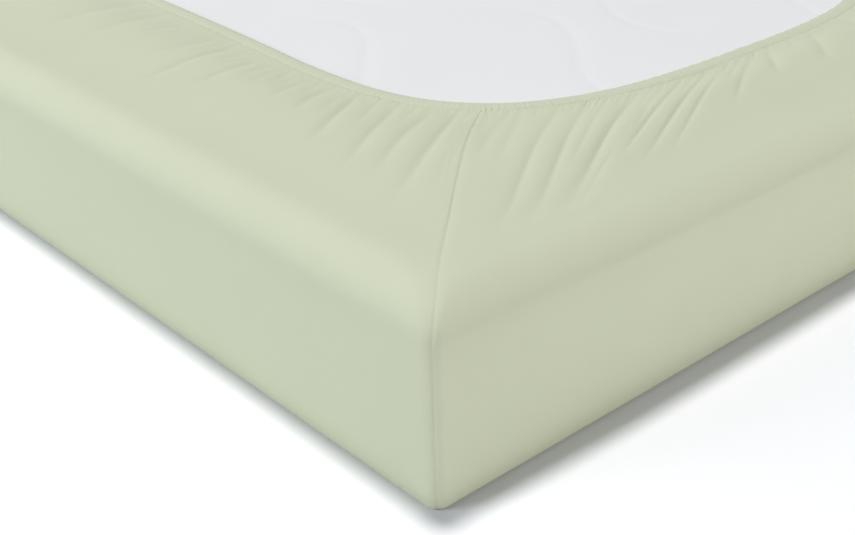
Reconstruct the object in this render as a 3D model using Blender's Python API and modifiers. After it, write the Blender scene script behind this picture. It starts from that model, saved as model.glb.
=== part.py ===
"""A fitted sheet with elastic all round its mouth, pulled over a mattress that lies face down.

The floor is the XY plane at z = 0, the origin is the middle of the footprint and the long sides run
along Y. The mouth faces up, so the gathers and the mattress's bare underside show. Metres, +Z up.
"""
import math
import random

import bmesh
import bpy
from mathutils import Vector

# The mattress.
MATTRESS_WIDTH = 1.40
MATTRESS_LENGTH = 2.00
MATTRESS_HEIGHT = 0.20
MATTRESS_BASE_EDGE = 0.012   # radius of its edge near the floor
UPRIGHT_CORNER = 0.018       # radius of the four upright corners, seen from above
TOP_EDGE = 0.044             # radius of the long soft edge under the gathers
CROWN_CORNER = 0.045         # corner radius where the soft edge meets the flat top

# The cloth and the room round it.
CLOTH = 0.002
SHEET_BASE_EDGE = 0.004      # the cloth turns under more tightly than the mattress
EDGE_CLEARANCE = 0.002       # between cloth and mattress at sides and edges
REST_GAP = 0.0003            # under the mattress's weight
HEM_GAP = 0.0010             # under the elastic hem

# The mouth: two nearly straight sides and two rounded ends.
MOUTH_INSET_LONG = 0.276     # from the long side to the hem, near the corner
MOUTH_INSET_SHORT = 0.218    # from the short side to the hem
MOUTH_END = 0.310            # how far a rounded end reaches along the sheet
MOUTH_POWER = 3.1            # 2 is an ellipse, more is squarer
MOUTH_BOW = 0.014            # how much further the elastic draws the long sides in halfway along
SEAM_LEAN = 1.17             # a corner seam goes this much further in from the long side than the short

# The gathers.
HEM_BAND = 0.020             # width of the stitched casing that holds the elastic
HEM_RISE = 0.0014            # the casing is that much thicker than the cloth
PUFF_RISE = 0.0085           # how high the cloth stands between two creases
PUFF_PEAK = 0.30             # share of the way from the hem to the edge where it stands highest
CREASE_HALF_WIDTH = 0.007
CREASE_SHOULDER = 0.35       # a crease's depth at its half width, as a share of its full depth
CREASE_KEEP = 0.5            # share of its reach over which a crease keeps its full depth
SEAM_HALF_WIDTH = 0.0035
SEAM_DEPTH = 0.0010

# The stretches of hem that are finished plainly.
HIDDEN_SPACING = 0.070
HIDDEN_WANDER = 0.2          # how far a crease strays from even spacing, as a share of it
HIDDEN_REACH = (0.08, 0.16)
HIDDEN_DEPTH = (0.7, 1.0)
HIDDEN_SEED = 11

# The four sides, anticlockwise from the corner with the lowest x and y. Each runs from seam to seam.
NEAR_SHORT, RIGHT_LONG, FAR_SHORT, LEFT_LONG = SIDES = range(4)
SHORT_SIDES = (NEAR_SHORT, FAR_SHORT)

# How the cloth is drawn towards the corners: rows of (share of the way along the hem, share of the
# way along the mattress's edge), from one seam to the next.
EVEN_LEAN = [(0.0, 0.0), (0.15, 0.17), (0.5, 0.5), (0.85, 0.83), (1.0, 1.0)]
LEAN = {
    NEAR_SHORT: [(0.0, 0.0), (0.125, 0.04), (0.25, 0.09), (0.375, 0.13), (0.5, 0.24),
                 (0.625, 0.42), (0.75, 0.62), (0.875, 0.82), (1.0, 1.0)],
    RIGHT_LONG: EVEN_LEAN,
    FAR_SHORT: EVEN_LEAN,
    LEFT_LONG: [(0.0, 0.0), (0.5, 0.5), (0.74, 0.71), (0.82, 0.78), (0.91, 0.88), (0.97, 0.945),
                (1.0, 1.0)],
}

# The creases round the near corner. Columns: side, metres along the hem from that corner's seam,
# how far the crease reaches from the hem, and its depth as a share of the puff.
CREASES = [
    (LEFT_LONG, 0.502, 0.06, 0.6),
    (LEFT_LONG, 0.452, 0.09, 0.7),
    (LEFT_LONG, 0.417, 0.07, 0.6),
    (LEFT_LONG, 0.380, 0.10, 0.9),
    (LEFT_LONG, 0.351, 0.15, 1.0),
    (LEFT_LONG, 0.319, 0.07, 0.6),
    (LEFT_LONG, 0.287, 0.12, 0.8),
    (LEFT_LONG, 0.251, 0.07, 0.7),
    (LEFT_LONG, 0.210, 0.07, 0.6),
    (LEFT_LONG, 0.173, 0.10, 0.9),
    (LEFT_LONG, 0.139, 0.14, 1.0),
    (LEFT_LONG, 0.083, 0.16, 0.9),
    (LEFT_LONG, 0.051, 0.17, 0.9),
    (LEFT_LONG, 0.021, 0.22, 1.0),
    (NEAR_SHORT, 0.025, 0.16, 0.9),
    (NEAR_SHORT, 0.054, 0.17, 0.9),
    (NEAR_SHORT, 0.091, 0.29, 1.0),
    (NEAR_SHORT, 0.130, 0.31, 1.0),
    (NEAR_SHORT, 0.158, 0.16, 0.7),
    (NEAR_SHORT, 0.202, 0.33, 1.0),
    (NEAR_SHORT, 0.243, 0.14, 0.7),
    (NEAR_SHORT, 0.278, 0.26, 0.9),
    (NEAR_SHORT, 0.321, 0.29, 0.9),
    (NEAR_SHORT, 0.352, 0.25, 0.8),
    (NEAR_SHORT, 0.394, 0.20, 0.7),
]

# How finely the skins are divided.
GATHER_ROWS = (0.16, 0.30, 0.50, 0.72, 0.92)   # shares of the way from the hem to the soft edge
EDGE_STEPS = 5
BASE_STEPS = 2
CORNER_STEPS = 12
CORNER_COLUMNS = (0.6, 1.0)                    # shares of the half corner beside a seam
SHORT_SIDE_COLUMNS = 6
LONG_SIDE_COLUMNS = 9
MOUTH_SAMPLES = 240
SHARP_ANGLE = math.radians(40)

SHEET_COLOUR = (0.604, 0.645, 0.491, 1.0)
SHEET_ROUGHNESS = 0.75
MATTRESS_COLOUR = (0.807, 0.807, 0.807, 1.0)
MATTRESS_ROUGHNESS = 0.9

OUTER_X = MATTRESS_WIDTH / 2 + EDGE_CLEARANCE + CLOTH
OUTER_Y = MATTRESS_LENGTH / 2 + EDGE_CLEARANCE + CLOTH
MATTRESS_BASE = CLOTH + REST_GAP
MATTRESS_TOP = MATTRESS_BASE + MATTRESS_HEIGHT
HEM_LEVEL = MATTRESS_TOP + HEM_GAP + CLOTH
CROWN_LEVEL = MATTRESS_TOP + EDGE_CLEARANCE + CLOTH


def smooth(x):
    """0 below 0, 1 above 1, and an S-shaped step between."""
    x = min(max(x, 0.0), 1.0)
    return x * x * (3 - 2 * x)


def length_of(line):
    return sum((b - a).length for a, b in zip(line, line[1:]))


def along(line, share):
    """The point at that share of a line's length."""
    left = share * length_of(line)
    for a, b in zip(line, line[1:]):
        step = (b - a).length
        if left <= step:
            return a.lerp(b, left / step)
        left -= step
    return line[-1].copy()


def read_rows(rows, x):
    """A smooth rising curve through rows of (x, y), read at x."""
    slopes = [(y1 - y0) / (x1 - x0) for (x0, y0), (x1, y1) in zip(rows, rows[1:])]
    inner = [2 * p * q / (p + q) for p, q in zip(slopes, slopes[1:])]
    tangents = [slopes[0]] + inner + [slopes[-1]]
    i = max(k for k in range(len(slopes)) if k == 0 or rows[k][0] <= x)
    (x0, y0), (x1, y1) = rows[i], rows[i + 1]
    t = (x - x0) / (x1 - x0)
    bend = tangents[i] * t * (1 - t) ** 2 - tangents[i + 1] * t * t * (1 - t)
    return y0 + (y1 - y0) * smooth(t) + (x1 - x0) * bend


def mouth_quarter():
    """A quarter of the mouth in x, y >= 0, with the index of the point where its seam ends."""
    half_width = OUTER_X - MOUTH_INSET_LONG
    straight = OUTER_Y - MOUTH_INSET_SHORT - MOUTH_END
    points = []
    for k in range(MOUTH_SAMPLES):
        share = k / MOUTH_SAMPLES
        points.append(Vector((half_width - MOUTH_BOW * (1 - share ** 2), straight * share)))
    for k in range(MOUTH_SAMPLES + 1):
        angle = math.pi / 2 * k / MOUTH_SAMPLES
        points.append(Vector((half_width * math.cos(angle) ** (2 / MOUTH_POWER),
                              straight + MOUTH_END * math.sin(angle) ** (2 / MOUTH_POWER))))
    off_seam = [abs((OUTER_X - p.x) - (OUTER_Y - p.y) * SEAM_LEAN) for p in points]
    return points, off_seam.index(min(off_seam))


def rectangle_quarter(half_x, half_y, radius):
    """A quarter of a rounded rectangle in x, y >= 0, with the index of its corner's middle."""
    points = [Vector((half_x, 0.0))]
    for k in range(CORNER_STEPS + 1):
        angle = math.pi / 2 * k / CORNER_STEPS
        points.append(Vector((half_x - radius + radius * math.cos(angle),
                              half_y - radius + radius * math.sin(angle))))
    points.append(Vector((0.0, half_y)))
    return points, 1 + CORNER_STEPS // 2


def sides_of(quarter, seam):
    """The four lines from seam to seam of the closed outline that a quarter is mirrored to.

    The quarter runs from the middle of a long side to the middle of a short one.
    """
    short, long = quarter[seam:], quarter[seam::-1]
    near = [Vector((-p.x, -p.y)) for p in short] + [Vector((p.x, -p.y)) for p in short[-2::-1]]
    right = [Vector((p.x, -p.y)) for p in long] + [Vector((p.x, p.y)) for p in long[-2::-1]]
    return [near, right, [-p for p in near], [-p for p in right]]


def all_creases(hems):
    """Every crease as (side, share of the way along the side's hem, reach, depth), in order."""
    chance = random.Random(HIDDEN_SEED)
    found = []
    for side in SIDES:
        length = length_of(hems[side])
        listed = [row for row in CREASES if row[0] == side]
        for _, place, reach, depth in listed:
            share = place / length if side == NEAR_SHORT else 1 - place / length
            found.append((side, share, reach, depth))
        taken = max((row[1] for row in listed), default=0.0)
        start = taken if side == NEAR_SHORT else 0.0
        count = round((length - taken) / HIDDEN_SPACING)
        for k in range(count):
            stray = chance.uniform(-HIDDEN_WANDER, HIDDEN_WANDER)
            place = start + (length - taken) * (k + 0.5 + stray) / count
            found.append((side, place / length, chance.uniform(*HIDDEN_REACH),
                          chance.uniform(*HIDDEN_DEPTH)))
    return sorted(found)


def gather_columns(hems):
    """Where the gathered top's columns stand: (side, share, reach, crease depth, seam depth).

    There is one at each crease, one on each side of it and one halfway to the next, and three at
    each seam.
    """
    creases = all_creases(hems)
    columns = []
    for side in SIDES:
        length = length_of(hems[side])
        foot, seam = CREASE_HALF_WIDTH / length, SEAM_HALF_WIDTH / length
        own = [row for row in creases if row[0] == side]
        stops = [seam] + [row[1] for row in own] + [1 - seam]
        columns += [(side, 0.0, 0.0, 0.0, SEAM_DEPTH), (side, seam, 0.0, 0.0, 0.0)]
        for before, after, (_, share, reach, depth) in zip(stops, stops[2:], own):
            if share - before > 2 * foot:
                columns.append((side, share - foot, reach, CREASE_SHOULDER * depth, 0.0))
            columns.append((side, share, reach, depth, 0.0))
            columns.append((side, share + foot, reach, CREASE_SHOULDER * depth, 0.0))
            if after - share > 4 * foot:
                columns.append((side, (share + after) / 2, 0.0, 0.0, 0.0))
        columns.append((side, 1 - seam, 0.0, 0.0, 0.0))
    return columns


def gathered_point(rib, distance):
    """The point of the gathered top that lies that distance from the hem along a rib."""
    hem, crown, (_, _, reach, depth, seam_depth) = rib
    share = distance / (crown - hem).length
    spot = hem.lerp(crown, share)
    level = HEM_LEVEL + (CROWN_LEVEL - HEM_LEVEL) * smooth(share / GATHER_ROWS[-1])
    fall = (share - PUFF_PEAK) / (GATHER_ROWS[-1] - PUFF_PEAK)
    puff = PUFF_RISE * smooth(share / PUFF_PEAK) * (1 - smooth(fall))
    if reach:
        fade = (distance / reach - CREASE_KEEP) / (1 - CREASE_KEEP)
        puff *= 1 - depth * (1 - smooth(fade))
    band = HEM_RISE if distance <= HEM_BAND else 0.0
    return Vector((spot.x, spot.y, level + puff + band - seam_depth))


def body_shares():
    """Where the columns of the edges and sides stand: (side, share of the way along it)."""
    shares = []
    for side in SIDES:
        short = side in SHORT_SIDES
        length = 2 * (OUTER_X if short else OUTER_Y)
        bend = UPRIGHT_CORNER * math.pi / 4 / length
        start = [SEAM_HALF_WIDTH / length] + [bend * column for column in CORNER_COLUMNS]
        count = SHORT_SIDE_COLUMNS if short else LONG_SIDE_COLUMNS
        straight = 1 - 2 * start[-1]
        middle = [start[-1] + straight * (k + 1) / (count + 1) for k in range(count)]
        shares += [(side, share) for share in [0.0] + start + middle]
        shares += [(side, 1 - share) for share in reversed(start)]
    return shares


def body_ring(half_x, half_y, radius, z, seam_depth):
    """A ring of the edges and sides: a rounded rectangle at one height."""
    lines = sides_of(*rectangle_quarter(half_x, half_y, radius))
    points = []
    for side, share in body_shares():
        spot = along(lines[side], share)
        if share == 0.0:
            spot -= seam_depth * Vector((math.copysign(1, spot.x), math.copysign(1, spot.y)))
        points.append(Vector((spot.x, spot.y, z)))
    return points


def body_rings(half_x, half_y, base, top, foot, seam_depth=0.0):
    """Rings over the soft top edge, down the sides and round the base edge, from the top down."""
    rings = []
    for k in range(EDGE_STEPS + 1):
        angle = math.pi / 2 * k / EDGE_STEPS
        inset = TOP_EDGE * (1 - math.sin(angle))
        radius = UPRIGHT_CORNER + (CROWN_CORNER - UPRIGHT_CORNER) * inset / TOP_EDGE
        rings.append(body_ring(half_x - inset, half_y - inset, radius,
                               top - TOP_EDGE * (1 - math.cos(angle)), seam_depth))
    for k in range(BASE_STEPS + 1):
        angle = math.pi / 2 * k / BASE_STEPS
        inset = foot * (1 - math.cos(angle))
        rings.append(body_ring(half_x - inset, half_y - inset, UPRIGHT_CORNER - inset,
                               base + foot * (1 - math.sin(angle)), seam_depth))
    return rings


def first_ring(bm, points):
    """A closed loop of vertices and edges through the points, as its vertices in order."""
    ring = [bm.verts.new(point) for point in points]
    for a, b in zip(ring, ring[1:] + ring[:1]):
        bm.edges.new((a, b))
    return ring


def next_ring(bm, ring, points):
    """Extrudes a ring, moves the new one to the points and returns it."""
    edges = [bm.edges.get(pair) for pair in zip(ring, ring[1:] + ring[:1])]
    made = set(bmesh.ops.extrude_edge_only(bm, edges=edges)["geom"])
    moved = []
    for vert, point in zip(ring, points):
        others = [edge.other_vert(vert) for edge in vert.link_edges]
        twin = next(other for other in others if other in made)
        twin.co = point
        moved.append(twin)
    return moved


def stitch(bm, inner, inner_places, outer, outer_places):
    """Fills between two rings with unlike columns, which stand at rising places round the sheet."""
    inner_places = inner_places + [len(SIDES)]
    outer_places = outer_places + [len(SIDES)]
    i = j = 0
    while i < len(inner) or j < len(outer):
        a, b = inner[i % len(inner)], outer[j % len(outer)]
        if j == len(outer) or i < len(inner) and inner_places[i + 1] <= outer_places[j + 1]:
            i += 1
            bm.faces.new((a, b, inner[i % len(inner)]))
        else:
            j += 1
            bm.faces.new((a, b, outer[j % len(outer)]))


def finish_mesh(bm, name, colour, roughness, collection, parent):
    """Makes an object of a bmesh, shaded smooth, with its own material."""
    bmesh.ops.recalc_face_normals(bm, faces=bm.faces)
    mesh = bpy.data.meshes.new(name)
    bm.to_mesh(mesh)
    bm.free()
    mesh.shade_smooth()
    mesh.set_sharp_from_angle(angle=SHARP_ANGLE)
    material = bpy.data.materials.new(name)
    material.use_nodes = True
    shader = material.node_tree.nodes["Principled BSDF"]
    shader.inputs["Base Color"].default_value = colour
    shader.inputs["Roughness"].default_value = roughness
    shader.inputs["Metallic"].default_value = 0.0
    mesh.materials.append(material)
    thing = bpy.data.objects.new(name, mesh)
    collection.objects.link(thing)
    thing.parent = parent
    return thing


def make_sheet(collection, parent):
    """The sheet: gathered top, soft edge, sides and the sleeping side on the floor, in one skin."""
    hems = sides_of(*mouth_quarter())
    crowns = sides_of(*rectangle_quarter(OUTER_X - TOP_EDGE, OUTER_Y - TOP_EDGE, CROWN_CORNER))
    ribs, places = [], []
    for column in gather_columns(hems):
        side, share = column[:2]
        edge_share = read_rows(LEAN[side], share)
        ribs.append((along(hems[side], share), along(crowns[side], edge_share), column))
        places.append(side + edge_share)
    bm = bmesh.new()
    ring = first_ring(bm, [gathered_point(rib, 0.0) for rib in ribs])
    ring = next_ring(bm, ring, [gathered_point(rib, HEM_BAND) for rib in ribs])
    for share in GATHER_ROWS:
        row = [gathered_point(rib, share * (rib[1] - rib[0]).length) for rib in ribs]
        ring = next_ring(bm, ring, row)
    rings = body_rings(OUTER_X, OUTER_Y, 0.0, CROWN_LEVEL, SHEET_BASE_EDGE, SEAM_DEPTH)
    outer = first_ring(bm, rings[0])
    stitch(bm, ring, places, outer, [side + share for side, share in body_shares()])
    for points in rings[1:]:
        outer = next_ring(bm, outer, points)
    bm.faces.new(outer)
    sheet = finish_mesh(bm, "sheet", SHEET_COLOUR, SHEET_ROUGHNESS, collection, parent)
    skin = sheet.modifiers.new("Cloth thickness", "SOLIDIFY")
    skin.thickness = CLOTH
    skin.offset = -1.0


def make_mattress(collection, parent):
    """The mattress, a plain soft block that the sheet fits."""
    rings = body_rings(MATTRESS_WIDTH / 2, MATTRESS_LENGTH / 2, MATTRESS_BASE, MATTRESS_TOP,
                       MATTRESS_BASE_EDGE)
    bm = bmesh.new()
    ring = first_ring(bm, rings[0])
    bm.faces.new(ring)
    for points in rings[1:]:
        ring = next_ring(bm, ring, points)
    bm.faces.new(ring)
    finish_mesh(bm, "mattress", MATTRESS_COLOUR, MATTRESS_ROUGHNESS, collection, parent)


def main():
    for thing in list(bpy.data.objects):
        bpy.data.objects.remove(thing, do_unlink=True)
    collection = bpy.data.collections.new("Fitted sheet on a mattress")
    bpy.context.scene.collection.children.link(collection)
    stand = bpy.data.objects.new("fitted_sheet_and_mattress", None)
    collection.objects.link(stand)
    make_mattress(collection, stand)
    make_sheet(collection, stand)


main()
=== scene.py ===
# A fitted sheet with elastic round its mouth, on a mattress that lies face down.
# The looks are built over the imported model: the gathered cloth, its hem casing and stitches, and the quilted
# underside of the mattress.
import math
import random

import bmesh
import bpy
import numpy as np
from mathutils import Matrix, Vector, noise


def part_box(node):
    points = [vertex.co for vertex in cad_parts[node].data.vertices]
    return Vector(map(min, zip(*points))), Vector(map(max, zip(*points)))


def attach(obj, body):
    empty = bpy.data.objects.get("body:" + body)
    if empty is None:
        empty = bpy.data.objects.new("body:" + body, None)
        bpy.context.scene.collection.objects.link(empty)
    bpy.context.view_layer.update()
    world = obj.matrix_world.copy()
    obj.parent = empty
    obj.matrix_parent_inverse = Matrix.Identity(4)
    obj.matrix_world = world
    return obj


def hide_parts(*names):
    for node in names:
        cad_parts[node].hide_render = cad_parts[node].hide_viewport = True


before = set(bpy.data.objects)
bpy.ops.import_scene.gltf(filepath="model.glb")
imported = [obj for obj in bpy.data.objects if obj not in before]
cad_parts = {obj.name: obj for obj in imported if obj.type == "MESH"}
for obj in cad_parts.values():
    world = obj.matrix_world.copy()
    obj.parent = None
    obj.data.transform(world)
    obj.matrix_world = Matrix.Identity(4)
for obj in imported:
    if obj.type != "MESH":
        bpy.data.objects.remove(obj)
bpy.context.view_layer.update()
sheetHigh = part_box("sheet")[1]
mattressLow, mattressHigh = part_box("mattress")
print("frame loaded:", sorted(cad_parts))

# sides run anticlockwise from the corner with the lowest x and y, each from seam to seam
nearShort, rightLong, farShort, leftLong = range(4)
sideAlong = np.array([(1, 0), (0, 1), (-1, 0), (0, -1)], float)
sideOut = np.array([(0, -1), (1, 0), (0, 1), (-1, 0)], float)

# the outline in metres: the solids' sizes, but with tighter upright corners
outline = {
    "halfX": sheetHigh.x,
    "halfY": sheetHigh.y,
    "uprightCorner": 0.014,
    "topEdge": 0.044,
    "crownCorner": 0.045,
    "footEdge": 0.004,
    "crownLevel": mattressHigh.z + 0.004,
    "hemLevel": mattressHigh.z + 0.0037,
}
mouth = {
    "insetLong": 0.276,      # from the long side to the hem, near the corner
    "insetShort": 0.218,
    "endReach": 0.310,       # how far a rounded end reaches along the sheet
    "power": 3.1,            # 2 is an ellipse, more is squarer
    "bow": 0.014,            # how much further the elastic draws the long sides in
    "seamLean": 1.17,        # a corner seam starts this many times as far from the long side as from the short
    "samples": 240,
    "leanSamples": 2001,
    "outwardStep": 0.004,    # ring shares to each side that the hem's direction is read from
}
# share of the way along the hem -> share of the way along the mattress's edge
evenLean = [(0.0, 0.0), (0.15, 0.17), (0.5, 0.5), (0.85, 0.83), (1.0, 1.0)]
lean = {
    nearShort: [
        (0.0, 0.0), (0.125, 0.04), (0.25, 0.09), (0.375, 0.13), (0.5, 0.24), (0.625, 0.42), (0.75, 0.62),
        (0.875, 0.82), (1.0, 1.0)],
    rightLong: evenLean,
    farShort: evenLean,
    leftLong: [(0.0, 0.0), (0.5, 0.5), (0.74, 0.71), (0.82, 0.78), (0.91, 0.88), (0.97, 0.945), (1.0, 1.0)],
}
casing = {
    "width": 0.0200,
    "thickness": 0.0032,
    "innerReach": 0.0030,    # how far it reaches into the mouth past the solid's hem line
    "lift": 0.0004,          # of its underside over the mattress
    "pinchFrom": 0.0110,     # the stitches draw it thinner from here outwards
    "pinchKeep": 0.86,
    "mouthRound": 5.0,       # how full its two edges are, more is squarer
    "stitchRound": 8.0,
    "crossPower": 0.45,      # 0.5 is a plain oval, less is fuller
    "around": 18,
    "clothAround": 2.1,      # widths of cloth that go once round it
    "mergeWithin": 0.00001,
    "seenSpacing": 0.0009,
    "besideSpacing": 0.0020,
    "farSpacing": 0.0036,
    "edgeWander": 0.0005,    # the elastic's edge is never quite straight
    "wanderSize": 0.045,
    "wanderSeed": 1.9,
    "ruffle": 0.0009,        # small folds that the elastic draws up along the mouth's edge
    "ruffleSize": 0.0021,
    "ruffleSeed": 4.4,
    "ruffleReach": 0.009,    # they fade out over this width
    "ruffleKeep": 0.30,
    "fullness": 1.3,         # metres of cloth gathered into a metre of casing
}


def ease(x):
    x = np.clip(x, 0.0, 1.0)
    return x * x * (3 - 2 * x)


def readRows(rows, x):
    # a smooth rising curve through rows of (x, y)
    slopes = [(y1 - y0) / (x1 - x0) for (x0, y0), (x1, y1) in zip(rows, rows[1:])]
    tangents = [slopes[0]] + [2 * p * q / (p + q) for p, q in zip(slopes, slopes[1:])] + [slopes[-1]]
    i = max(k for k in range(len(slopes)) if k == 0 or rows[k][0] <= x)
    (x0, y0), (x1, y1) = rows[i], rows[i + 1]
    t = (x - x0) / (x1 - x0)
    bend = tangents[i] * t * (1 - t) ** 2 - tangents[i + 1] * t * t * (1 - t)
    return y0 + (y1 - y0) * t * t * (3 - 2 * t) + (x1 - x0) * bend


def hemRing():
    # the closed hem line: ring places (side + share), points and the length of each side
    halfWidth = outline["halfX"] - mouth["insetLong"]
    straight = outline["halfY"] - mouth["insetShort"] - mouth["endReach"]
    k = np.arange(mouth["samples"]) / mouth["samples"]
    angle = np.linspace(0, math.pi / 2, mouth["samples"] + 1)
    sideX, sideY = halfWidth - mouth["bow"] * (1 - k ** 2), straight * k
    endX = halfWidth * np.maximum(np.cos(angle), 0) ** (2 / mouth["power"])
    endY = straight + mouth["endReach"] * np.sin(angle) ** (2 / mouth["power"])
    quarter = np.stack([np.r_[sideX, endX], np.r_[sideY, endY]], axis=1)
    fromLong, fromShort = outline["halfX"] - quarter[:, 0], outline["halfY"] - quarter[:, 1]
    seam = int(np.abs(fromLong - fromShort * mouth["seamLean"]).argmin())
    short, long = quarter[seam:], quarter[seam::-1]
    near = np.r_[short * (-1, -1), short[-2::-1] * (1, -1)]
    right = np.r_[long * (1, -1), long[-2::-1]]
    places, points, lengths = [], [], []
    for side, line in enumerate([near, right, -near, -right]):
        run = np.r_[0, np.cumsum(np.hypot(*np.diff(line, axis=0).T))]
        places.append(side + run[:-1] / run[-1])
        points.append(line[:-1])
        lengths.append(run[-1])
    return np.r_[np.concatenate(places), 4.0], np.r_[np.concatenate(points), near[:1]], np.array(lengths)


hemPlaces, hemPoints, hemLengths = hemRing()
hemStarts = np.r_[0, np.cumsum(hemLengths)]
hemTotal = hemStarts[-1]


def leanedPlace(place):
    side = min(int(place), 3)
    return side + readRows(lean[side], place - side)


leanPlaces = np.linspace(0, 4, mouth["leanSamples"])
leanShares = np.array([leanedPlace(place) for place in leanPlaces])


def hemMetres(ring):
    # metres along the hem from the near corner's seam
    return np.interp(ring, np.arange(5), hemStarts)


def hemAt(ring):
    return np.stack([np.interp(ring, hemPlaces, hemPoints[:, k]) for k in (0, 1)], axis=1)


def hemOutward(ring):
    # the level direction straight out of the mouth
    step = mouth["outwardStep"]
    run = hemAt((ring + step) % 4) - hemAt((ring - step) % 4)
    run = run / np.hypot(*run.T)[:, None]
    return np.stack([run[:, 1], -run[:, 0]], axis=1)


def roundedRing(place, inset, radius, shift=0.0):
    # points, outward normals and metres from the nearest corner, on a rounded rectangle.
    # place is side + share, and shift moves the points near a corner along it, in metres
    side = np.minimum(place.astype(int), 3)
    halves = np.array([outline["halfX"], outline["halfY"]] * 2)
    lengthAll = 2 * (halves - inset - radius) + math.pi / 2 * radius
    length = lengthAll[side]
    metres = (place - side) * length
    fromCorner = np.where(metres < length / 2, metres, metres - length)
    metres = metres + shift * np.exp(-(fromCorner / gathers["seamPull"]) ** 2)
    back, ahead = metres < 0, metres > length
    side = np.where(back, (side + 3) % 4, np.where(ahead, (side + 1) % 4, side))
    metres = np.where(back, metres + lengthAll[side], np.where(ahead, metres - length, metres))
    along, out = halves[side] - inset, halves[(side + 1) % 4] - inset
    quarterArc = math.pi / 4 * radius
    straight = 2 * (along - radius)
    start = np.clip(math.pi / 4 - metres / radius, 0, math.pi / 4)
    end = np.clip((metres - quarterArc - straight) / radius, 0, math.pi / 4)
    p = np.clip(metres - quarterArc, 0, straight) - (along - radius)
    p = p - radius * np.sin(start) + radius * np.sin(end)
    q = out - radius + radius * np.cos(start + end)
    endwise, outwards = np.sin(end) - np.sin(start), np.cos(start + end)
    normal = sideAlong[side] * endwise[:, None] + sideOut[side] * outwards[:, None]
    return sideAlong[side] * p[:, None] + sideOut[side] * q[:, None], normal, fromCorner


def ribs(ring):
    # hem point, crown point and length of the line that the cloth follows from the hem to the soft edge
    hem = hemAt(ring)
    place = np.interp(ring, leanPlaces, leanShares)
    crown = roundedRing(place, outline["topEdge"], outline["crownCorner"])[0]
    return hem, crown, np.hypot(*(crown - hem).T)


def bandAlong(ring):
    # metres from the hem line to the stitches, measured along the ribs
    hem, crown, length = ribs(ring)
    straightness = ((crown - hem) * hemOutward(ring)).sum(axis=1) / length
    return casing["width"] / straightness


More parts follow.
